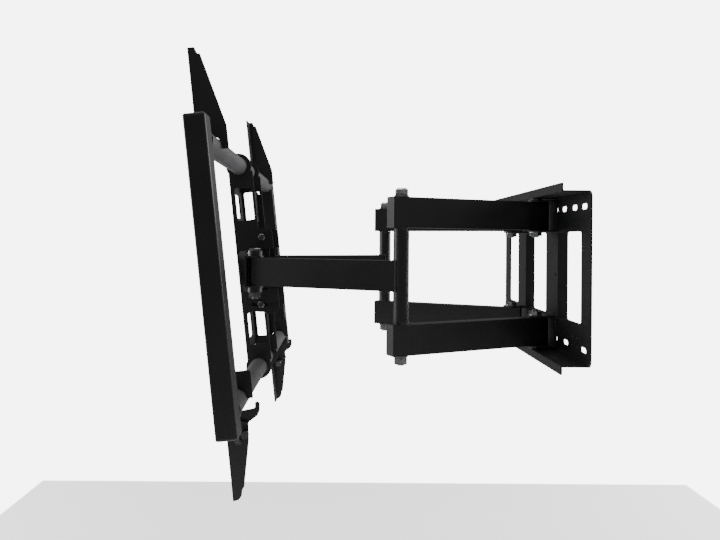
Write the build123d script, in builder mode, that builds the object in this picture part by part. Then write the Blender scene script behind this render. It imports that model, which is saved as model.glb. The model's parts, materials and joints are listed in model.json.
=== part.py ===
from build123d import *
import os
from math import cos, radians, sin

# Full motion wall mount for a flat screen.  Millimetres.  +X runs along the wall,
# +Y goes into the wall, +Z is up.  The origin is the centre of the wall plate's back face.

# ---- wall plate ----
plate_width = 430.0
plate_gauge = 2.5
plate_corner = 10.0
flange_clearance = 0.3
flange_depth = 38.0
lip_height = 10.0
window_half_height = 64.0
window_corner = 5.0
centre_window_half = 34.0
band_width = 91.0
end_band_width = 32.4
stiffener_depth = 15.0
stiffener_height = 124.0
stiffener_corner = 3.0
slot_length = 22.0
slot_width = 8.0
slot_inset = 21.0
outer_slot_inset = 24.0
upper_slots = (78.0, 114.0, 155.0)
lower_slots = (78.0, 123.0)
cable_slot_places = (151.0, 167.0)
cable_slot_rise = 7.0
cable_slot_length = 14.0
cable_slot_width = 5.0
band_hole_radius = 3.0

# ---- arm linkage ----
pivot_half_spacing = 70.0
wall_pivot_out = 31.0
arm_length = 239.0
arm_rest_angle = 24.35
arm_height = 43.0
arm_width = 20.0
arm_wall = 2.0
arm_overhang = 17.5
rear_gap = 135.0
post_diameter = 22.0
lug_gauge = 2.5
running_gap = 0.3
bolt_diameter = 10.0
bolt_fit = 0.05
open_pivot_spare = 0.05
bolt_head_across = 17.0
bolt_head_height = 8.5
thin_head_height = 2.9
head_bolt_head_height = 4.0
nut_height = 8.0
wall_nut_height = 5.0
head_chamfer = 0.28
washer_gauge = 1.6
collar_height = 4.0
collar_taper = 30.0
bolt_end = 2.0
lug_margin = 3.0
plug_length = 4.0
bush_flange = 2.0
bush_depth = 14.0
bush_wall = 2.0

# ---- tilting head ----
head_lug_radius = 13.0
head_web_out = 14.0
head_cap_height = 8.0
tilt_pivot_back = 7.0
tab_half_spacing = 42.0
tab_half_height = 66.0
tab_setback = 3.0
tab_back = 12.0
tab_corner = 8.0
tilt_bolt_height = 53.5
tilt_bolt_diameter = 6.0
tilt_head = 3.6
tilt_across = 10.0
tilt_nut = 5.0
tilt_washer_radius = 8.0
tilt_angle = 6.2
tilt_up = 11.2
tilt_down = 7.3

# ---- screen frame ----
frame_out = 13.5
frame_rise = 7.25
tube_diameter = 26.0
tube_wall = 1.5
tube_half_spacing = 160.0
bar_height = 373.0
bar_width = 30.0
bar_wall = 1.5
bar_corner = 3.0
cap_gauge = 3.0
cap_edge = 2.6
plug_depth = 10.0
frame_width = 680.0
channel_gauge = 2.5
channel_clearance = 1.5
channel_half_width = 48.0
channel_behind_tube = 8.0
tube_fit = 0.2

# ---- screen brackets ----
bracket_spacing = 512.0
bracket_length = 574.0
bracket_face = 30.0
bracket_gauge = 2.5
bracket_clearance = 2.0
tube_clearance = 0.4
jaw_wall = 8.6
jaw_drop = 4.0
web_depth = 13.0
bracket_edge = 1.2

os.makedirs("parts", exist_ok=True)

# ---- places worked out from the driving dimensions ----
arm_top = rear_gap / 2 + arm_height
lug_over = arm_height + running_gap + lug_gauge
lug_below = running_gap + lug_gauge
# the flanges just clear the thin bolt heads that they hide
flange_under = rear_gap / 2 + lug_over + thin_head_height + flange_clearance
half_plate = flange_under + plate_gauge
plate_height = 2 * half_plate
slot_height = half_plate - slot_inset
outer_slot = plate_width / 2 - outer_slot_inset
wall_pivot_y = -wall_pivot_out
elbow_x = pivot_half_spacing + arm_length * sin(radians(arm_rest_angle))
elbow_y = wall_pivot_y - arm_length * cos(radians(arm_rest_angle))
head_y = wall_pivot_y - 2 * arm_length * cos(radians(arm_rest_angle))
tilt_pivot_y = head_y + tilt_pivot_back
bolt_hole = bolt_diameter / 2 + bolt_fit
lean = radians(tilt_angle)
toward_wall = (0, cos(lean), sin(lean))
up_frame = (0, -sin(lean), cos(lean))
head_half_width = pivot_half_spacing + head_lug_radius
head_half_height = arm_height / 2 + running_gap + lug_gauge
tube_radius = tube_diameter / 2
bar_depth = tube_diameter
channel_front = tube_radius + channel_clearance + channel_gauge
channel_depth = channel_front + tube_radius + channel_behind_tube
bracket_front = tube_radius + bracket_clearance + bracket_gauge
notch = tube_radius + tube_clearance
jaw_depth = bracket_front + notch + jaw_wall

# The leaning screen frame: sketch x is world x, sketch y runs up the frame, and the
# plane's normal points at the screen.
frame_plane = Plane(
    origin=(0, head_y - frame_out, frame_rise),
    x_dir=(1, 0, 0),
    z_dir=(0, -cos(lean), -sin(lean)),
)


def side_plane(x, front=0.0):
    """Across the frame at x: sketch x runs to the wall from front, sketch y up the frame."""
    start = frame_plane.from_local_coords(Vector(x, 0, front))
    return Plane(origin=start, x_dir=toward_wall, z_dir=(1, 0, 0))


def save(builder, name):
    builder.part.label = name
    export_step(builder.part, f"parts/{name}.step")


def side_name(side):
    return "right" if side > 0 else "left"


def hexagon_bolt(plane, places, shank, head, diameter=bolt_diameter, across=bolt_head_across):
    """Domed hexagon bolts: the heads stand on the plane and the shanks go below it."""
    with BuildPart() as bolts:
        with BuildSketch(plane):
            with Locations(*places):
                RegularPolygon(across / 2, 6, major_radius=False)
        extrude(amount=head)
        top = bolts.faces().sort_by(Axis(plane.origin, plane.z_dir))[-len(places) :]
        chamfer(top.edges(), head * head_chamfer)
        with BuildSketch(plane):
            with Locations(*places):
                Circle(diameter / 2)
        extrude(amount=-shank)
    return bolts


def nuts(plane, places, height, bore, across=bolt_head_across):
    """Hexagon nuts that stand on the plane."""
    with BuildPart() as made:
        with BuildSketch(plane):
            with Locations(*places):
                RegularPolygon(across / 2, 6, major_radius=False)
                Circle(bore, mode=Mode.SUBTRACT)
        extrude(amount=height)
    return made


def rings(plane, places, height, outer, bore):
    """Flat rings that stand on the plane: washers, bushes and collars."""
    with BuildPart() as made:
        with BuildSketch(plane):
            with Locations(*places):
                Circle(outer)
                Circle(bore, mode=Mode.SUBTRACT)
        extrude(amount=height)
    return made


# ================= wall plate =================
band_outer = centre_window_half + band_width
window_outer = plate_width / 2 - end_band_width
side_window = window_outer - band_outer
window_height = 2 * window_half_height

with BuildPart() as wall_plate:
    with BuildSketch(Plane.XZ):
        RectangleRounded(plate_width, plate_height, plate_corner)
        centre_window = 2 * centre_window_half
        RectangleRounded(centre_window, window_height, window_corner, mode=Mode.SUBTRACT)
        with Locations((band_outer + side_window / 2, 0), (-band_outer - side_window / 2, 0)):
            RectangleRounded(side_window, window_height, window_corner, mode=Mode.SUBTRACT)
        for side in (1, -1):
            with Locations(*[(side * x, slot_height) for x in (*upper_slots, outer_slot)]):
                SlotOverall(slot_length, slot_width, mode=Mode.SUBTRACT)
            with Locations(*[(side * x, -slot_height) for x in (*lower_slots, outer_slot)]):
                SlotOverall(slot_length, slot_width, mode=Mode.SUBTRACT)
            with Locations(*[(side * x, cable_slot_rise - slot_height) for x in cable_slot_places]):
                SlotOverall(cable_slot_length, cable_slot_width, rotation=90, mode=Mode.SUBTRACT)
            with Locations((side * (centre_window_half + band_width / 2), 0)):
                Circle(band_hole_radius, mode=Mode.SUBTRACT)
    extrude(amount=plate_gauge)
    # top and bottom flanges with their outward lips
    for level in (1, -1):
        with BuildSketch(Plane.YZ.offset(-plate_width / 2 + plate_corner)):
            with BuildLine():
                Polyline(
                    (0, level * half_plate),
                    (0, level * flange_under),
                    (-flange_depth, level * flange_under),
                    (-flange_depth, level * (half_plate + lip_height)),
                    (-flange_depth + plate_gauge, level * (half_plate + lip_height)),
                    (-flange_depth + plate_gauge, level * half_plate),
                    (0, level * half_plate),
                )
            make_face()
        extrude(amount=plate_width - 2 * plate_corner)
    # a stiffener folded forward on one edge of each band
    for edge in (band_outer - plate_gauge / 2, -centre_window_half - plate_gauge / 2):
        with BuildSketch(Plane.YZ.offset(edge - plate_gauge / 2)):
            with Locations((-stiffener_depth / 2, 0)):
                RectangleRounded(stiffener_depth, stiffener_height, stiffener_corner)
        extrude(amount=plate_gauge)
save(wall_plate, "wall_plate")

# ================= hinge brackets on the wall plate =================


def hinge_bracket(side, level):
    """A folded bracket: a back with two lugs, one above and one below the arm's end."""
    middle = level * (rear_gap / 2 + arm_height / 2)
    tall = arm_height + 2 * running_gap + 2 * lug_gauge
    lug_width = arm_width + 2 * lug_margin
    depth = wall_pivot_out - plate_gauge
    with BuildPart() as bracket:
        for lug in (middle - tall / 2, middle + tall / 2 - lug_gauge):
            with BuildSketch(Plane.XY.offset(lug)):
                with Locations((side * pivot_half_spacing, -plate_gauge - depth / 2)):
                    Rectangle(lug_width, depth)
                with Locations((side * pivot_half_spacing, wall_pivot_y)):
                    Circle(lug_width / 2)
                    Circle(bolt_hole, mode=Mode.SUBTRACT)
            extrude(amount=lug_gauge)
        with BuildSketch(Plane.XZ.offset(plate_gauge)):
            with Locations((side * pivot_half_spacing, middle)):
                Rectangle(lug_width, tall)
        extrude(amount=lug_gauge)
    return bracket


for side in (1, -1):
    for level, height_name in ((1, "upper"), (-1, "lower")):
        save(hinge_bracket(side, level), f"{side_name(side)}_{height_name}_hinge_bracket")

# Each rear arm has a short pivot bolt of its own.  The thin heads face the flanges and
# the nuts face each other, so the lower set is the upper set mirrored.
wall_pivots = [(pivot_half_spacing, wall_pivot_y), (-pivot_half_spacing, wall_pivot_y)]


def above_and_below(make):
    """The same thing at the upper arms and, mirrored, at the lower arms."""
    with BuildPart() as pair:
        add(make)
        mirror(make, about=Plane.XY)
    return pair


wall_bolts = hexagon_bolt(
    Plane.XY.offset(rear_gap / 2 + lug_over),
    wall_pivots,
    lug_over + lug_below + washer_gauge + wall_nut_height + bolt_end,
    thin_head_height,
)
save(above_and_below(wall_bolts.part), "wall_pivot_bolts")

washer_seat = Plane.XY.offset(rear_gap / 2 - lug_below - washer_gauge)
wall_washers = rings(washer_seat, wall_pivots, washer_gauge, bolt_diameter, bolt_hole)
save(above_and_below(wall_washers.part), "wall_pivot_washers")

wall_nuts = nuts(washer_seat.offset(-wall_nut_height), wall_pivots, wall_nut_height, bolt_hole)
save(above_and_below(wall_nuts.part), "wall_pivot_nuts")

# ================= rear arms =================
def arm_plane(side, z, front=False):
    """A level plane with x along the arm, from its wall end, and the origin on its first pivot."""
    start = (side * pivot_half_spacing, wall_pivot_y, z)
    along = (side * sin(radians(arm_rest_angle)), -cos(radians(arm_rest_angle)), 0)
    if front:
        start = (side * elbow_x, elbow_y, z)
        along = (-side * sin(radians(arm_rest_angle)), -cos(radians(arm_rest_angle)), 0)
    return Plane(origin=start, x_dir=along, z_dir=(0, 0, 1))


def rear_arm(side, base):
    """A rectangular tube, open at both ends, with a hole through it at each end."""
    with BuildPart() as arm:
        with BuildSketch(arm_plane(side, base)):
            with Locations((arm_length / 2, 0)):
                Rectangle(arm_length + 2 * arm_overhang, arm_width)
        extrude(amount=arm_height)
        with BuildSketch(arm_plane(side, base + arm_wall)):
            with Locations((arm_length / 2, 0)):
                Rectangle(arm_length + 2 * arm_overhang, arm_width - 2 * arm_wall)
        extrude(amount=arm_height - 2 * arm_wall, mode=Mode.SUBTRACT)
        with BuildSketch(arm_plane(side, base)):
            with Locations((0, 0), (arm_length, 0)):
                Circle(bolt_hole)
        extrude(amount=arm_height, mode=Mode.SUBTRACT)
    return arm


def arm_plugs(side, level):
    """Plastic plugs that close both ends of a rear arm."""
    middle = level * (rear_gap / 2 + arm_height / 2)
    with BuildPart() as plugs:
        middle_of_plug = arm_overhang - plug_length / 2
        for place in (-middle_of_plug, arm_length + middle_of_plug):
            with BuildSketch(arm_plane(side, middle - arm_height / 2 + arm_wall)):
                with Locations((place, 0)):
                    Rectangle(plug_length, arm_width - 2 * arm_wall)
            extrude(amount=arm_height - 2 * arm_wall)
    return plugs


for side in (1, -1):
    for level, height_name in ((1, "upper"), (-1, "lower")):
        base = level * (rear_gap / 2 + arm_height / 2) - arm_height / 2
        save(rear_arm(side, base), f"{side_name(side)}_{height_name}_rear_arm")
        save(arm_plugs(side, level), f"{side_name(side)}_{height_name}_arm_plugs")

# ================= elbows =================
def elbow_collars(side):
    """Tapered collars above the upper arm and below the lower arm."""
    with BuildPart() as collars:
        for level in (1, -1):
            with BuildSketch(Plane.XY.offset(level * arm_top)):
                with Locations((side * elbow_x, elbow_y)):
                    Circle(post_diameter / 2)
            extrude(amount=level * collar_height, taper=collar_taper)
        with BuildSketch(Plane.XY.offset(-arm_top - collar_height)):
            with Locations((side * elbow_x, elbow_y)):
                Circle(bolt_hole)
        extrude(amount=2 * (arm_top + collar_height), mode=Mode.SUBTRACT)
    return collars


for side in (1, -1):
    elbow = [(side * elbow_x, elbow_y)]
    name = side_name(side)
    collar_top = arm_top + collar_height
    save(elbow_collars(side), f"{name}_elbow_collars")
    long_bolt = hexagon_bolt(
        Plane.XY.offset(collar_top), elbow, 2 * collar_top + nut_height + bolt_end, bolt_head_height
    )
    save(long_bolt, f"{name}_elbow_bolt")
    elbow_nut = nuts(Plane.XY.offset(-collar_top - nut_height), elbow, nut_height, bolt_hole)
    save(elbow_nut, f"{name}_elbow_nut")

    # the post is a thick tube that turns on the bolt, with a plastic bush in each end
    half_post = rear_gap / 2 - running_gap
    bush_outer = bolt_diameter / 2 + bush_wall
    with BuildPart() as post:
        with BuildSketch(Plane.XY.offset(-half_post + bush_flange)):
            with Locations(*elbow):
                Circle(post_diameter / 2)
                Circle(bush_outer, mode=Mode.SUBTRACT)
        extrude(amount=2 * (half_post - bush_flange))
    save(post, f"{name}_elbow_post")

    with BuildPart() as bushes:
        for level in (1, -1):
            with BuildSketch(Plane.XY.offset(level * half_post)):
                with Locations(*elbow):
                    Circle(post_diameter / 2)
                    Circle(bolt_hole, mode=Mode.SUBTRACT)
            extrude(amount=-level * bush_flange)
            with BuildSketch(Plane.XY.offset(level * half_post)):
                with Locations(*elbow):
                    Circle(bush_outer)
                    Circle(bolt_hole, mode=Mode.SUBTRACT)
            extrude(amount=-level * bush_depth)
    save(bushes, f"{name}_elbow_bushes")

    # the front arm is a tube that ends round at the head and is coped to the post
    with BuildPart() as front_arm:
        with BuildSketch(arm_plane(side, -arm_height / 2, front=True)):
            with Locations((arm_length / 2, 0)):
                Rectangle(arm_length, arm_width)
            with Locations((arm_length, 0)):
                Circle(arm_width / 2)
        extrude(amount=arm_height)
        with BuildSketch(arm_plane(side, -arm_height / 2 + arm_wall, front=True)):
            with Locations((arm_length / 2 - arm_width / 2, 0)):
                Rectangle(arm_length - arm_width, arm_width - 2 * arm_wall)
        extrude(amount=arm_height - 2 * arm_wall, mode=Mode.SUBTRACT)
        with BuildSketch(Plane.XY.offset(-arm_height / 2)):
            with Locations(*elbow):
                Circle(post_diameter / 2)
            with Locations((side * pivot_half_spacing, head_y)):
                Circle(bolt_hole if side > 0 else bolt_hole + open_pivot_spare)
        extrude(amount=arm_height, mode=Mode.SUBTRACT)
    save(front_arm, f"{name}_front_arm")

# ================= head =================
head_pivots = [(pivot_half_spacing, head_y), (-pivot_half_spacing, head_y)]
tab_outer = tab_half_spacing + lug_gauge
tab_front = head_web_out - tab_setback
tilt_bore = tilt_bolt_diameter / 2 + bolt_fit
tilt_bolt_places = [(tilt_pivot_y, tilt_bolt_height), (tilt_pivot_y, -tilt_bolt_height)]

with BuildPart() as head_bracket:
    for lug in (-head_half_height, head_half_height - lug_gauge):
        with BuildSketch(Plane.XY.offset(lug)):
            with Locations((0, head_y - head_web_out / 2)):
                Rectangle(2 * head_half_width, head_web_out)
            with Locations(*head_pivots):
                Circle(head_lug_radius)
                Circle(bolt_hole, mode=Mode.SUBTRACT)
        extrude(amount=lug_gauge)
    with BuildSketch(Plane.XZ.offset(-head_y + head_web_out - lug_gauge)):
        Rectangle(2 * head_half_width, 2 * head_half_height)
    extrude(amount=lug_gauge)
    # side tabs that carry the tilting channel
    for x in (tab_half_spacing, -tab_outer):
        with BuildSketch(Plane.YZ.offset(x)):
            with Locations((tilt_pivot_y + (tab_back - tab_front) / 2, 0)):
                RectangleRounded(tab_front + tab_back, 2 * tab_half_height, tab_corner)
            with Locations((head_y - head_web_out / 2, 0)):
                Rectangle(head_web_out - lug_gauge / 2, 2 * head_half_height - lug_gauge / 2)
        extrude(amount=lug_gauge)
    with BuildSketch(Plane.YZ.offset(-tab_outer)):
        with Locations(*tilt_bolt_places):
            Circle(tilt_bore)
    extrude(amount=2 * tab_outer, mode=Mode.SUBTRACT)
save(head_bracket, "head_bracket")

with BuildPart() as head_caps:
    for level in (1, -1):
        with BuildSketch(Plane.XY.offset(level * head_half_height)):
            with Locations(*head_pivots):
                Circle(post_diameter / 2)
                Circle(bolt_hole, mode=Mode.SUBTRACT)
        extrude(amount=level * head_cap_height)
save(head_caps, "head_pivot_caps")

head_bolt_seat = head_half_height + head_cap_height
head_bolts = hexagon_bolt(
    Plane.XY.offset(head_bolt_seat),
    head_pivots,
    2 * head_bolt_seat + nut_height + bolt_end,
    head_bolt_head_height,
)
save(head_bolts, "head_pivot_bolts")
head_nuts = nuts(Plane.XY.offset(-head_bolt_seat - nut_height), head_pivots, nut_height, bolt_hole)
save(head_nuts, "head_pivot_nuts")

# ================= tilt bolts =================
# The upper pair is the tilt axis; the lower pair clamps in arc slots of the channel.
tilt_washer = channel_half_width - channel_gauge - tab_outer
tilt_bolt_end = 2.0


def both_sides(make):
    """The same thing on the right and, mirrored, on the left."""
    with BuildPart() as pair:
        add(make)
        mirror(make, about=Plane.YZ)
    return pair


head_seat = Plane.YZ.offset(channel_half_width)
tilt_shank = channel_half_width - tab_half_spacing + tilt_nut + tilt_bolt_end
tilt_bolts = hexagon_bolt(
    head_seat, tilt_bolt_places, tilt_shank, tilt_head, tilt_bolt_diameter, tilt_across
)
save(both_sides(tilt_bolts.part), "tilt_bolts")

spacers = rings(
    Plane.YZ.offset(tab_outer), tilt_bolt_places, tilt_washer, tilt_washer_radius, tilt_bore
)
save(both_sides(spacers.part), "tilt_friction_washers")
tilt_nuts = nuts(
    Plane.YZ.offset(tab_half_spacing - tilt_nut), tilt_bolt_places, tilt_nut, tilt_bore, tilt_across
)
save(both_sides(tilt_nuts.part), "tilt_nuts")

# ================= centre channel =================
channel_side = side_plane(channel_half_width - channel_gauge, channel_front)
tilt_local = channel_side.to_local_coords(Vector(0, tilt_pivot_y, tilt_bolt_height))
lock_angle = -90 - tilt_angle
hook_wall = 7.0
hook_radius = tube_radius + hook_wall
tube_hole = tube_radius + tube_fit
web_below_hook = 4.0
web_half = tube_half_spacing - hook_radius - web_below_hook
side_short = 9.0
side_window_width = 27.0
side_window_corner = 3.0
side_window_length = 52.0
side_window_inset = 4.0
web_window_width = 46.0
web_window_height = 40.0
web_window_corner = 8.0
window_place = 99.0
head_room_top = 19.0
head_room_bottom = 84.0
head_room_reach = 13.4
head_room_corner = 4.0
bulge_back = 17.0
bulge_over = 15.0
bulge_corner = 10.0
lock_slot_spare = 1.0

with BuildPart() as channel:
    with BuildSketch(channel_side):
        with Locations((channel_depth / 2, 0)):
            Rectangle(channel_depth, 2 * (tube_half_spacing - side_short))
        with Locations((tilt_local.X / 2 + bulge_back / 2, tilt_local.Y - tilt_bolt_height)):
            bulge_height = 2 * (tilt_bolt_height + bulge_over)
            RectangleRounded(tilt_local.X + bulge_back, bulge_height, bulge_corner)
        for level in (1, -1):
            with Locations((channel_front, level * tube_half_spacing)):
                Circle(hook_radius)
                Circle(tube_hole, mode=Mode.SUBTRACT)
            slot_back = channel_depth - side_window_inset - side_window_width / 2
            with Locations((slot_back, level * window_place)):
                RectangleRounded(
                    side_window_width, side_window_length, side_window_corner, mode=Mode.SUBTRACT
                )
        # room for the head bracket to pass through as the channel tilts
        room_height = head_room_bottom - head_room_top
        room_middle = tilt_local.Y - head_room_top - room_height / 2
        room_front = channel_front - head_room_reach
        with Locations((room_front + channel_depth, room_middle)):
            RectangleRounded(2 * channel_depth, room_height, head_room_corner, mode=Mode.SUBTRACT)
        with Locations((tilt_local.X, tilt_local.Y)):
            Circle(tilt_bore, mode=Mode.SUBTRACT)
        with BuildLine(mode=Mode.PRIVATE) as lock_path:
            CenterArc(
                (tilt_local.X, tilt_local.Y),
                2 * tilt_bolt_height,
                lock_angle - tilt_down - lock_slot_spare,
                tilt_up + tilt_down + 2 * lock_slot_spare,
            )
        SlotArc(lock_path.edges()[0], tilt_bolt_diameter + 4 * bolt_fit, mode=Mode.SUBTRACT)
    extrude(amount=channel_gauge)
    mirror(about=Plane.YZ)
    with BuildSketch(frame_plane.offset(channel_front - channel_gauge)):
        Rectangle(2 * channel_half_width, 2 * web_half)
        for level in (1, -1):
            with Locations((0, level * window_place)):
                RectangleRounded(
                    web_window_width, web_window_height, web_window_corner, mode=Mode.SUBTRACT
                )
    extrude(amount=channel_gauge)
save(channel, "centre_channel")

# ================= tubes and end bars =================
bar_inner = frame_width / 2 - bar_width

for level, name in ((1, "top_tube"), (-1, "bottom_tube")):
    with BuildPart() as tube:
        with BuildSketch(side_plane(-bar_inner)):
            with Locations((0, level * tube_half_spacing)):
                Circle(tube_radius)
                Circle(tube_radius - tube_wall, mode=Mode.SUBTRACT)
        extrude(amount=2 * bar_inner)
    save(tube, name)

bar_bore = (bar_width - 2 * bar_wall, bar_depth - 2 * bar_wall, bar_corner - bar_wall)


def across_bar(place):
    """Across an end bar at a place up the frame: sketch x is world x."""
    return Plane(frame_plane.from_local_coords(Vector(0, place, 0)), (1, 0, 0), up_frame)


for side in (1, -1):
    name = side_name(side)
    bar_middle = side * (frame_width - bar_width) / 2
    with BuildPart() as bar:
        with BuildSketch(across_bar(0)):
            with Locations((bar_middle, 0)):
                RectangleRounded(bar_width, bar_depth, bar_corner)
                RectangleRounded(*bar_bore, mode=Mode.SUBTRACT)
        extrude(amount=bar_height / 2 - cap_gauge, both=True)
    save(bar, f"{name}_end_bar")

    # plastic caps with a plug that grips inside the bar
    with BuildPart() as caps:
        for level in (1, -1):
            seat = across_bar(level * (bar_height / 2 - cap_gauge))
            with BuildSketch(seat):
                with Locations((bar_middle, 0)):
                    RectangleRounded(bar_width, bar_depth, bar_corner)
            extrude(amount=level * cap_gauge)
            with BuildSketch(seat):
                with Locations((bar_middle, 0)):
                    RectangleRounded(*bar_bore)
            extrude(amount=-level * plug_depth)
        outer = caps.faces().sort_by(Axis((0, 0, 0), up_frame))
        fillet(outer[0].edges() + outer[-1].edges(), cap_edge)
    save(caps, f"{name}_bar_caps")

# ================= screen brackets =================
bracket_x = bracket_spacing / 2
half_bracket = bracket_length / 2
tube_t = bracket_front
pin_t = 14.0
pin_u = -tube_half_spacing - 52.6
pin_diameter = 6.0
pin_head = 1.6
pin_head_radius = pin_diameter / 2 + 1
pin_ring = 1.2
pin_ring_radius = pin_diameter / 2 + 2.6
pin_spare = 2.0
thumb_t = 24.0
thumb_u = -tube_half_spacing - 44
thumb_shank = 2.5
thumb_neck = 1.0
thumb_neck_radius = 3.6
thumb_height = 6.0
thumb_radius = 4.8
knurl_count = 20
knurl_radius = 0.3
latch_gauge = 3.0
latch_gap = 0.5
latch_boss = 8.0
screen_hole_place = 200.0
screen_slots = (100.0, 150.0, 245.0)
screen_slot = 20.0
screen_hole = 8.5
screen_hole_offset = 2.0

upper_edge = [
    (0, half_bracket),
    (8.6, half_bracket),
    (12, half_bracket - 8.5),
    (15, half_bracket - 8.5),
    (25, tube_half_spacing + 80.5),
    (33, tube_half_spacing + 50),
    (jaw_depth - 0.5, tube_half_spacing + 27),
    (jaw_depth, tube_half_spacing + 23),
    (jaw_depth, tube_half_spacing - jaw_drop),
]
lower_edge = [
    (web_depth, 35 - tube_half_spacing),
    (jaw_depth - 3, 35 - tube_half_spacing),
    (jaw_depth - 1.5, 31 - tube_half_spacing),
    (jaw_depth - 1.5, -tube_half_spacing),
]
tail_edge = [
    (tube_t - notch + 0.01, -tube_half_spacing - notch),
    (tube_t, -tube_half_spacing - 27),
    (29, -tube_half_spacing - 30),
    (28.6, -tube_half_spacing - 33),
    (27.3, -tube_half_spacing - 52.4),
    (15.6, -half_bracket + 16.4),
    (13, -half_bracket + 13.5),
    (11.1, -half_bracket + 5.3),
    (7.4, -half_bracket + 1.2),
    (2.3, -half_bracket),
    (0, -half_bracket),
]
bracket_outline = (
    upper_edge
    + [(tube_t + notch, tube_half_spacing - jaw_drop), (tube_t + notch, tube_half_spacing)]
    + [(tube_t - notch, tube_half_spacing)]
    + [(tube_t - notch, tube_half_spacing - notch - 4), (web_depth, tube_half_spacing - 30)]
    + lower_edge
    + [(tube_t + notch, -tube_half_spacing), (tube_t - notch, -tube_half_spacing)]
    + tail_edge
)


def screen_bracket(side):
    """A long folded bracket whose web hooks over both tubes."""
    inner = bracket_x - bracket_gauge
    web_start = inner if side > 0 else -bracket_x
    with BuildPart() as bracket:
        with BuildSketch(side_plane(web_start, bracket_front)):
            Polygon(*bracket_outline, align=None)
            for level in (1, -1):
                with Locations((tube_t, level * tube_half_spacing)):
                    Circle(notch, mode=Mode.SUBTRACT)
            with Locations((pin_t, pin_u)):
                Circle(pin_diameter / 2 + bolt_fit, mode=Mode.SUBTRACT)
            with Locations((thumb_t, thumb_u)):
                Circle(thumb_shank + bolt_fit, mode=Mode.SUBTRACT)
        extrude(amount=bracket_gauge)
        with BuildSketch(frame_plane.offset(bracket_front - bracket_gauge)):
            with Locations((side * (bracket_x - bracket_face / 2), 0)):
                RectangleRounded(bracket_face, bracket_length, bracket_edge)
                for level in (1, -1):
                    places = [(-side * screen_hole_offset, level * u) for u in screen_slots]
                    with Locations(*places):
                        SlotOverall(screen_slot, screen_hole, rotation=90, mode=Mode.SUBTRACT)
                    with Locations((-side * screen_hole_offset, level * screen_hole_place)):
                        Circle(screen_hole / 2, mode=Mode.SUBTRACT)
        extrude(amount=bracket_gauge)
    return bracket


def latch_lever(side):
    """A sprung lever whose hook closes under and behind the lower tube."""
    inner_face = bracket_x - bracket_gauge - latch_gap
    start = inner_face - latch_gauge if side > 0 else -inner_face
    under = -tube_half_spacing - tube_radius - 1
    with BuildPart() as lever:
        with BuildSketch(side_plane(start, bracket_front)):
            with Locations((pin_t, pin_u)):
                Circle(latch_boss)
            Polygon(
                (pin_t - 7, pin_u),
                (pin_t - 6, under - 8),
                (pin_t - 2, under - 2.5),
                (tube_t + notch + 6, under - 0.5),
                (tube_t + notch + 8, under + 1.5),
                (tube_t + notch + 8.5, under + 7),
                (tube_t + notch + 11.5, under + 8),
                (tube_t + notch + 14, under + 5.5),
                (tube_t + notch + 13, under - 4),
                (tube_t + notch + 10, under - 9.5),
                (tube_t + notch - 1, under - 16),
                (pin_t + 8, pin_u + 12),
                (pin_t + 8, pin_u),
                align=None,
            )
            Polygon(
                (pin_t - 7, pin_u),
                (pin_t + 8, pin_u),
                (pin_t + 6, pin_u - 16),
                (pin_t - 1, pin_u - 18),
                align=None,
            )
            with Locations((pin_t, pin_u)):
                Circle(pin_diameter / 2 + bolt_fit, mode=Mode.SUBTRACT)
        extrude(amount=latch_gauge)
    return lever


spring_wire = 1.0
spring_gap = 0.3
spring_turns = 4
spring_clearance = 0.4
spring_pitch = 2 * spring_wire + spring_gap

for side in (1, -1):
    name = side_name(side)
    save(screen_bracket(side), f"{name}_screen_bracket")
    save(latch_lever(side), f"{name}_latch")

    # the latch turns on a headed pin held by a ring at its inner end
    inner_face = bracket_x - bracket_gauge - latch_gap - latch_gauge
    pin_inner = inner_face - spring_turns * spring_pitch - pin_spare
    seat = side_plane(side * bracket_x, bracket_front)
    with BuildPart() as pin:
        with BuildSketch(seat):
            with Locations((pin_t, pin_u)):
                Circle(pin_head_radius)
        extrude(amount=side * pin_head)
        with BuildSketch(seat):
            with Locations((pin_t, pin_u)):
                Circle(pin_diameter / 2)
        extrude(amount=-side * (bracket_x - pin_inner))
        with BuildSketch(side_plane(side * pin_inner, bracket_front)):
            with Locations((pin_t, pin_u)):
                Circle(pin_ring_radius)
        extrude(amount=-side * pin_ring)
    save(pin, f"{name}_latch_pin")

    with BuildPart() as spring:
        for turn in range(spring_turns):
            place = inner_face - spring_gap - spring_wire - turn * spring_pitch
            ring_plane = side_plane(side * place, bracket_front)
            middle = ring_plane.from_local_coords(Vector(pin_t, pin_u, 0))
            with BuildSketch(Plane(middle, toward_wall, ring_plane.y_dir)):
                with Locations((pin_diameter / 2 + spring_clearance + spring_wire, 0)):
                    Circle(spring_wire)
            revolve(axis=Axis(middle, (1, 0, 0)))
    save(spring, f"{name}_latch_spring")

    # a thumb screw through the web locks the bracket to the frame
    with BuildPart() as thumb:
        with BuildSketch(seat.offset(side * thumb_neck)):
            with Locations((thumb_t, thumb_u)):
                Circle(thumb_radius)
                with PolarLocations(thumb_radius, knurl_count):
                    Circle(knurl_radius, mode=Mode.SUBTRACT)
        extrude(amount=side * thumb_height)
        with BuildSketch(seat):
            with Locations((thumb_t, thumb_u)):
                Circle(thumb_neck_radius)
        extrude(amount=side * thumb_neck)
        with BuildSketch(seat):
            with Locations((thumb_t, thumb_u)):
                Circle(thumb_shank)
        extrude(amount=-side * bracket_gauge)
    save(thumb, f"{name}_thumb_screw")
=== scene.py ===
import json
from math import cos, pi, radians, sin

import bmesh
import bpy
from mathutils import Matrix, Vector


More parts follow.
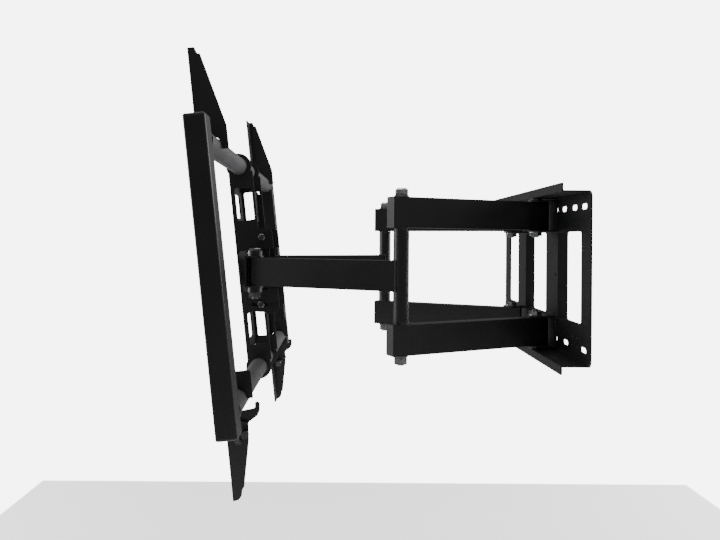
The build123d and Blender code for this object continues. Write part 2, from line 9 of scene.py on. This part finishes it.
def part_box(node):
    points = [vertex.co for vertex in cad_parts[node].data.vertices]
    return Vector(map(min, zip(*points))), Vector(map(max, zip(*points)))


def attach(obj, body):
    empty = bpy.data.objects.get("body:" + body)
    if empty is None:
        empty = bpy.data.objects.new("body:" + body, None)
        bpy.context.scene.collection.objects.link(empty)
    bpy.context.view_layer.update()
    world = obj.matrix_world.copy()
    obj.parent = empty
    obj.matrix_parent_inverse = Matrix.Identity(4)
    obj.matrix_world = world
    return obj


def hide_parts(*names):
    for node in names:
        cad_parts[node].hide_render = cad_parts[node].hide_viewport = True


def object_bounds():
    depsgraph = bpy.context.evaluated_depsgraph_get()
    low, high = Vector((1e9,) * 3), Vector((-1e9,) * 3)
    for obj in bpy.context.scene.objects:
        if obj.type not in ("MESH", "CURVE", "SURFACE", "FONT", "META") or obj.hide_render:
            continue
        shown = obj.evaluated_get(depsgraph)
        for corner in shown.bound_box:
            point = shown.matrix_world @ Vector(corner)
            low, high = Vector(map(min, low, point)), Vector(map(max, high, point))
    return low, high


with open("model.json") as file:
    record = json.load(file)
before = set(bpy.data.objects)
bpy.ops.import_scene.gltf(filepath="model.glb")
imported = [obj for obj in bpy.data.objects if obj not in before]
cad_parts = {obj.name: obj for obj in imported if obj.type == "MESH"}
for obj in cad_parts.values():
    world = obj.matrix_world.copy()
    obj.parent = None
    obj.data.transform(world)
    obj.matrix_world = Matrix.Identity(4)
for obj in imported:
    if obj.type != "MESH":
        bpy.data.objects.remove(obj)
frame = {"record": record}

MM = 0.001
cad_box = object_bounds()


def centre(node):
    low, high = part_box(node)
    return (Vector(low) + Vector(high)) / 2


def joint(name):
    return next(j for j in frame["record"]["behaviour"]["joints"] if j["name"] == name)


# ---------------------------------------------------------------- camera
EYE = Vector((1.045, -0.331, 0.050))
LENS = 31.35
ROLL = radians(0.4)
camera_data = bpy.data.cameras.new("camera")
camera_data.lens = LENS
camera_data.sensor_width = 36.0
camera_data.shift_x = 0.0243
camera_data.shift_y = -0.0418
camera_data.clip_start = 0.02
camera = bpy.data.objects.new("camera", camera_data)
camera.matrix_world = (
    Matrix.Translation(EYE)
    @ Matrix.Rotation(pi / 2, 4, "Z")
    @ Matrix.Rotation(pi / 2, 4, "X")
    @ Matrix.Rotation(ROLL, 4, "Z")
)
bpy.context.scene.collection.objects.link(camera)
bpy.context.scene.camera = camera


# ---------------------------------------------------------------- materials
def linear(hex_colour):
    """An sRGB colour such as "#1b1b1c" as linear red, green, blue and alpha."""
    parts = [int(hex_colour[i : i + 2], 16) / 255 for i in (1, 3, 5)]
    return [*(c / 12.92 if c <= 0.04045 else ((c + 0.055) / 1.055) ** 2.4 for c in parts), 1.0]


def add_node(tree, kind, settings=None, links=None):
    """Adds a node; settings sets its properties and sockets, links feeds its sockets."""
    node = tree.nodes.new(kind)
    for key, value in (settings or {}).items():
        if key in node.inputs:
            node.inputs[key].default_value = value
        else:
            setattr(node, key, value)
    for key, source in (links or {}).items():
        tree.links.new(source, node.inputs[key])
    return node


def new_material(name):
    material = bpy.data.materials.new(name)
    material.use_nodes = True
    tree = material.node_tree
    tree.nodes.clear()
    shader = add_node(tree, "ShaderNodeBsdfPrincipled")
    add_node(tree, "ShaderNodeOutputMaterial", links={"Surface": shader.outputs[0]})
    place = add_node(tree, "ShaderNodeTexCoord").outputs["Object"]
    return material, tree, shader, place


def ramp(tree, source, low, high, low_at=0.35, high_at=0.65):
    """Spreads a pattern between two colours."""
    node = add_node(tree, "ShaderNodeValToRGB", links={"Fac": source})
    node.color_ramp.elements[0].position = low_at
    node.color_ramp.elements[0].color = low
    node.color_ramp.elements[1].position = high_at
    node.color_ramp.elements[1].color = high
    return node.outputs["Color"]


def spread(tree, source, low, high):
    """Maps a pattern from 0..1 to low..high."""
    settings = {"To Min": low, "To Max": high}
    return add_node(tree, "ShaderNodeMapRange", settings, {"Value": source}).outputs["Result"]


def powder_coat(name, base, worn, roughness, grain_mm=0.9, grain_depth=0.05, edge_mm=0.7):
    """Baked powder paint on steel: satin, with a fine orange-peel grain and softened edges
    that catch a thin line of light."""
    material, tree, shader, place = new_material(name)
    shader.inputs["IOR"].default_value = 1.5
    grain = add_node(
        tree,
        "ShaderNodeTexNoise",
        {"Scale": 1 / (grain_mm * MM), "Detail": 3.0, "Roughness": 0.55},
        {"Vector": place},
    ).outputs["Fac"]
    cloud = add_node(
        tree, "ShaderNodeTexNoise", {"Scale": 1 / (60 * MM), "Detail": 4.0}, {"Vector": place}
    ).outputs["Fac"]
    speck = add_node(
        tree, "ShaderNodeTexNoise", {"Scale": 1 / (2.2 * MM), "Detail": 2.0}, {"Vector": place}
    ).outputs["Fac"]
    tree.links.new(ramp(tree, cloud, linear(base), linear(worn)), shader.inputs["Base Color"])
    mixed = add_node(
        tree, "ShaderNodeMath", {"operation": "MULTIPLY_ADD"}, {0: speck, 1: cloud}
    )
    mixed.inputs[2].default_value = 0.2
    tree.links.new(
        spread(tree, mixed.outputs[0], roughness - 0.08, roughness + 0.12),
        shader.inputs["Roughness"],
    )
    edge = add_node(tree, "ShaderNodeBevel", {"samples": 4, "Radius": edge_mm * MM})
    bump = add_node(
        tree,
        "ShaderNodeBump",
        {"Strength": 0.5, "Distance": grain_depth * MM},
        {"Height": grain, "Normal": edge.outputs[0]},
    )
    tree.links.new(bump.outputs[0], shader.inputs["Normal"])
    return material


def zinc_plate(name, bright, dull, roughness, edge_mm=0.3):
    """Bright zinc plating on steel fasteners: metallic, faintly blue, with fine wear marks."""
    material, tree, shader, place = new_material(name)
    shader.inputs["Metallic"].default_value = 1.0
    mottled = add_node(
        tree, "ShaderNodeTexNoise", {"Scale": 1 / (3 * MM), "Detail": 5.0}, {"Vector": place}
    ).outputs["Fac"]
    scratched = add_node(
        tree,
        "ShaderNodeTexNoise",
        {"Scale": 1 / (1.1 * MM), "Detail": 6.0, "Distortion": 1.2},
        {"Vector": place},
    ).outputs["Fac"]
    tree.links.new(ramp(tree, mottled, linear(dull), linear(bright)), shader.inputs["Base Color"])
    tree.links.new(
        spread(tree, scratched, roughness - 0.1, roughness + 0.15), shader.inputs["Roughness"]
    )
    edge = add_node(tree, "ShaderNodeBevel", {"samples": 4, "Radius": edge_mm * MM})
    bump = add_node(
        tree,
        "ShaderNodeBump",
        {"Strength": 0.4, "Distance": 0.03 * MM},
        {"Height": scratched, "Normal": edge.outputs[0]},
    )
    tree.links.new(bump.outputs[0], shader.inputs["Normal"])
    return material


def moulded_plastic(name, base, worn, roughness):
    """Injection-moulded nylon or ABS: matte, with a fine spark-eroded texture."""
    material, tree, shader, place = new_material(name)
    shader.inputs["IOR"].default_value = 1.5
    texture = add_node(
        tree, "ShaderNodeTexVoronoi", {"Scale": 1 / (0.8 * MM)}, {"Vector": place}
    ).outputs["Distance"]
    cloud = add_node(
        tree, "ShaderNodeTexNoise", {"Scale": 1 / (25 * MM), "Detail": 3.0}, {"Vector": place}
    ).outputs["Fac"]
    tree.links.new(ramp(tree, cloud, linear(base), linear(worn)), shader.inputs["Base Color"])
    tree.links.new(
        spread(tree, texture, roughness - 0.05, roughness + 0.1), shader.inputs["Roughness"]
    )
    edge = add_node(tree, "ShaderNodeBevel", {"samples": 4, "Radius": 0.5 * MM})
    bump = add_node(
        tree,
        "ShaderNodeBump",
        {"Strength": 0.5, "Distance": 0.04 * MM},
        {"Height": texture, "Normal": edge.outputs[0]},
    )
    tree.links.new(bump.outputs[0], shader.inputs["Normal"])
    return material


finishes = {
    "black_coat": powder_coat("black powder coat", "#08080a", "#0f0f10", 0.44),
    "frame_coat": powder_coat("satin powder coat", "#0e0e0f", "#151516", 0.44),
    "tube_coat": powder_coat("tube powder coat", "#404042", "#4a4a4c", 0.42),
    "latch_coat": powder_coat("latch powder coat", "#0b0b0c", "#121213", 0.48),
    "black_plastic": moulded_plastic("moulded black nylon", "#0f0f0f", "#171717", 0.55),
    "zinc_steel": zinc_plate("bright zinc plate", "#c4c6c8", "#7f8285", 0.27),
    "thumb_steel": zinc_plate("dull zinc plate", "#5f6062", "#434446", 0.45),
    "dark_zinc": zinc_plate("black zinc plate", "#77787b", "#4d4e51", 0.30),
    "spring_steel": zinc_plate("oiled spring steel", "#77787a", "#4f5052", 0.34),
}
weld = powder_coat("coated weld bead", "#0d0d0e", "#161617", 0.38, grain_mm=0.6, edge_mm=0.2)

slot_of = {s["node"]: s["material_slot"] for s in frame["record"]["subparts"]}
for name, slot in slot_of.items():
    finish = "tube_coat" if name in ("top_tube", "bottom_tube") else slot
    cad = bpy.data.objects[name]
    if not cad.material_slots:
        cad.data.materials.append(finishes[finish])
    for material_slot in cad.material_slots:
        material_slot.material = finishes[finish]


# ---------------------------------------------------------------- pieces that follow a path
def sweep(name, path, radius, closed=False, sides=10):
    """A round bar along a path; radius is a function of the place along it, in metres."""
    mesh = bpy.data.meshes.new(name)
    shape = bmesh.new()
    count = len(path)
    rows = []
    travelled = 0.0
    across = None
    for i, point in enumerate(path):
        before = path[i - 1] if closed or i > 0 else point
        after = path[(i + 1) % count] if closed or i < count - 1 else point
        ahead = (after - before).normalized()
        if across is None:
            across = ahead.orthogonal()
        across = (across - ahead * across.dot(ahead)).normalized()
        up = ahead.cross(across)
        if i > 0:
            travelled += (point - path[i - 1]).length
        size = radius(travelled)
        turns = [2 * pi * k / sides for k in range(sides)]
        rim = [point + (across * cos(a) + up * sin(a)) * size for a in turns]
        rows.append([shape.verts.new(corner) for corner in rim])
    last = count if closed else count - 1
    for i in range(last):
        near, far = rows[i], rows[(i + 1) % count]
        # a closed path meets its own start with the ring turned, so the rings are lined up
        shift = 0
        if closed and i == count - 1:
            shift = min(range(sides), key=lambda k: (far[k].co - near[0].co).length)
        for k in range(sides):
            m = (k + 1) % sides
            shape.faces.new((near[k], near[m], far[(m + shift) % sides], far[(k + shift) % sides]))
    if not closed:
        shape.faces.new(list(reversed(rows[0])))
        shape.faces.new(rows[-1])
    bmesh.ops.recalc_face_normals(shape, faces=shape.faces)
    for face in shape.faces:
        face.smooth = True
    shape.to_mesh(mesh)
    shape.free()
    piece = bpy.data.objects.new(name, mesh)
    bpy.context.scene.collection.objects.link(piece)
    return piece


def finish_piece(piece, body, finish):
    piece.data.materials.append(finish)
    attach(piece, body)


def bead_radius(size, ripple=1.6 * MM):
    """A hand-laid fillet weld: a bar that swells and sinks once for each ripple."""
    return lambda s: size * (1 + 0.07 * cos(2 * pi * s / ripple))


def fine(points, step=0.4 * MM):
    """The same path with points no further apart than step."""
    made = []
    for a, b in zip(points, points[1:]):
        parts = max(1, int((b - a).length / step))
        made += [a.lerp(b, k / parts) for k in range(parts)]
    return made + [points[-1]]


def ring(middle, size, count=200):
    """A circle around the X axis."""
    turns = [2 * pi * k / count for k in range(count)]
    return [middle + Vector((0, size * cos(a), size * sin(a))) for a in turns]


# ---------------------------------------------------------------- welds
BEAD = 1.5 * MM
HOOK_BEAD = 1.2 * MM
POST_BEAD = 1.3 * MM
SIDES = ((1, "right"), (-1, "left"))

for tube in ("top_tube", "bottom_tube"):
    low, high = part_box(tube)
    size = (high[2] - low[2]) / 2
    for side, side_name in SIDES:
        bar_face = Vector((side * high[0], centre(tube).y, centre(tube).z))
        channel_face = bar_face.copy()
        channel_face.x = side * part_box("centre_channel")[1][0]
        seams = (("weld", bar_face, BEAD), ("hook_weld", channel_face, HOOK_BEAD))
        for kind, place, bead_size in seams:
            name = f"{tube}_{side_name}_{kind}"
            bead = sweep(name, ring(place, size), bead_radius(bead_size), closed=True)
            finish_piece(bead, "screen_frame", weld)

elbow_place = joint("right_elbow")["pos_m"]
head_place = joint("head_pivot")["pos_m"]
ARM_HALF_WIDTH = 10 * MM
arm_low, arm_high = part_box("right_front_arm")
post_low, post_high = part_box("right_elbow_post")
post_radius = (post_high[0] - post_low[0]) / 2
for side, side_name in SIDES:
    elbow = Vector((side * elbow_place[0], elbow_place[1], 0))
    ahead = (Vector((side * head_place[0], head_place[1], 0)) - elbow).normalized()
    across = Vector((-ahead.y, ahead.x, 0))

    def on_post(offset, z):
        along = (post_radius**2 - offset**2) ** 0.5
        return elbow + ahead * along + across * offset + Vector((0, 0, z))

    offsets = [ARM_HALF_WIDTH * (k / 12 - 1) for k in range(25)]
    outline = [on_post(o, arm_high[2]) for o in offsets]
    outline += [on_post(o, arm_low[2]) for o in reversed(offsets)]
    outline.append(outline[0])
    bead = sweep(f"{side_name}_post_weld", fine(outline)[:-1], bead_radius(POST_BEAD), closed=True)
    finish_piece(bead, f"{side_name}_front_arm_body", weld)

PLATE_FACE = -2.5 * MM
BEAD_SHORT = 2 * MM
for side, side_name in SIDES:
    for level in ("upper", "lower"):
        low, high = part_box(f"{side_name}_{level}_hinge_bracket")
        for edge, x in (("inner", low[0]), ("outer", high[0])):
            run = [
                Vector((x, PLATE_FACE, low[2] + BEAD_SHORT)),
                Vector((x, PLATE_FACE, high[2] - BEAD_SHORT)),
            ]
            bead = sweep(f"{side_name}_{level}_hinge_{edge}_weld", fine(run), bead_radius(BEAD))
            finish_piece(bead, "wall", weld)


# ---------------------------------------------------------------- threads on the bolt ends
def helix(start, step, pitch, size, turns, count=28):
    """A screw line around a bolt; step is +1 or -1 along Z."""
    path = []
    for k in range(int(turns * count) + 1):
        angle = 2 * pi * k / count
        offset = Vector((size * cos(angle), size * sin(angle), step * pitch * k / count))
        path.append(start + offset)
    return path


BOLT_RADIUS = 5 * MM
THREAD_PITCH = 0.75 * MM  # half the true 1.5 mm, so that 2 mm of bolt end shows its thread
BOLT_END = 2 * MM
THREAD_INSET = 0.3 * MM
THREAD_RIDGE = 0.28 * MM


def bolt_thread(name, place, end_z, inward, body, slot):
    finish = finishes[slot]
    start = Vector((place[0], place[1], end_z + inward * THREAD_INSET))
    turns = (BOLT_END - 2 * THREAD_INSET) / THREAD_PITCH
    path = helix(start, inward, THREAD_PITCH, BOLT_RADIUS, turns)
    finish_piece(sweep(name, path, lambda s: THREAD_RIDGE, sides=6), body, finish)


for side, side_name in SIDES:
    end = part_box(f"{side_name}_elbow_bolt")[0][2]
    elbow = (side * elbow_place[0], elbow_place[1])
    body = f"{side_name}_rear_arms"
    bolt_thread(f"{side_name}_elbow_thread", elbow, end, 1, body, "zinc_steel")
    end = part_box("head_pivot_bolts")[0][2]
    pivot = (side * head_place[0], head_place[1])
    bolt_thread(f"{side_name}_head_thread", pivot, end, 1, "head", "dark_zinc")

# ---------------------------------------------------------------- latch springs
WIRE = 0.55 * MM
COIL_RADIUS = 4.5 * MM
COIL_TURNS = 5.25
POINTS_A_TURN = 26
OUTER_LEG = (7, 5, 3, 1)  # places along the legs, in millimetres from the coil
INNER_LEG = (1, 3, 5, 6)
END_SPARE = 0.08  # the share of the pin's length left bare at each end of the coil
for side, side_name in SIDES:
    low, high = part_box(f"{side_name}_latch_spring")
    middle = centre(f"{side_name}_latch_spring")
    outer, inner = (high[0], low[0]) if side > 0 else (low[0], high[0])
    path = []
    for k in range(int(COIL_TURNS * POINTS_A_TURN) + 1):
        angle = 2 * pi * k / POINTS_A_TURN + pi / 2
        share = END_SPARE + (1 - 2 * END_SPARE) * k / (COIL_TURNS * POINTS_A_TURN)
        turned = Vector((0, COIL_RADIUS * cos(angle), COIL_RADIUS * sin(angle)))
        path.append(Vector((outer + (inner - outer) * share, middle.y, middle.z)) + turned)
    # a straight leg leaves each end of the coil
    first_way = (path[0] - path[1]).normalized()
    last_way = (path[-1] - path[-2]).normalized()
    legs_start = [path[0] + first_way * d * MM for d in OUTER_LEG]
    legs_end = [path[-1] + last_way * d * MM for d in INNER_LEG]
    spring = sweep(f"{side_name}_latch_coil", legs_start + path + legs_end, lambda s: WIRE, sides=8)
    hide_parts(f"{side_name}_latch_spring")
    finish_piece(spring, f"{side_name}_bracket", finishes["spring_steel"])

# ---------------------------------------------------------------- light and stage
def soft_light(name, place, target, size, power):
    data = bpy.data.lights.new(name, "AREA")
    data.shape = "RECTANGLE"
    data.size, data.size_y = size
    data.energy = power
    light = bpy.data.objects.new(name, data)
    light.location = place
    direction = Vector(target) - Vector(place)
    light.rotation_euler = direction.to_track_quat("-Z", "Y").to_euler()
    bpy.context.scene.collection.objects.link(light)


middle = (Vector(cad_box[0]) + Vector(cad_box[1])) / 2
soft_light("screen_side_light", (-0.6, -2.4, 0.5), middle, (1.8, 1.6), 55)
soft_light("wall_side_light", (-0.9, 1.9, 0.5), middle, (1.8, 1.6), 80)
soft_light("top_light", (0.1, -0.3, 2.2), middle, (2.4, 2.4), 50)

world = bpy.data.worlds.new("studio")
world.use_nodes = True
sky = world.node_tree
sky.nodes.clear()
seen = add_node(sky, "ShaderNodeBackground", {"Color": linear("#ffffff"), "Strength": 6.5})
lit = add_node(sky, "ShaderNodeBackground", {"Color": linear("#ffffff"), "Strength": 0.22})
ray = add_node(sky, "ShaderNodeLightPath")
mix = add_node(sky, "ShaderNodeMixShader")
sky.links.new(ray.outputs["Is Camera Ray"], mix.inputs[0])
sky.links.new(lit.outputs[0], mix.inputs[1])
sky.links.new(seen.outputs[0], mix.inputs[2])
add_node(sky, "ShaderNodeOutputWorld", links={"Surface": mix.outputs[0]})
bpy.context.scene.world = world

FLOOR_BELOW = 0.5
FLOOR_REACH = 1.1
FLOOR_MIDDLE_Y = -0.25
near, far = FLOOR_MIDDLE_Y - FLOOR_REACH, FLOOR_MIDDLE_Y + FLOOR_REACH
floor_mesh = bpy.data.meshes.new("floor")
floor_height = cad_box[0][2] - FLOOR_BELOW
floor_mesh.from_pydata(
    [
        (-FLOOR_REACH, near, floor_height),
        (FLOOR_REACH, near, floor_height),
        (FLOOR_REACH, far, floor_height),
        (-FLOOR_REACH, far, floor_height),
    ],
    [],
    [(0, 1, 2, 3)],
)
floor = bpy.data.objects.new("floor", floor_mesh)
paint, _, paint_shader, _ = new_material("pale floor paint")
paint_shader.inputs["Base Color"].default_value = linear("#fafafa")
paint_shader.inputs["Emission Color"].default_value = linear("#ffffff")
paint_shader.inputs["Emission Strength"].default_value = 0.6
paint_shader.inputs["Roughness"].default_value = 0.9
floor_mesh.materials.append(paint)
bpy.context.scene.collection.objects.link(floor)
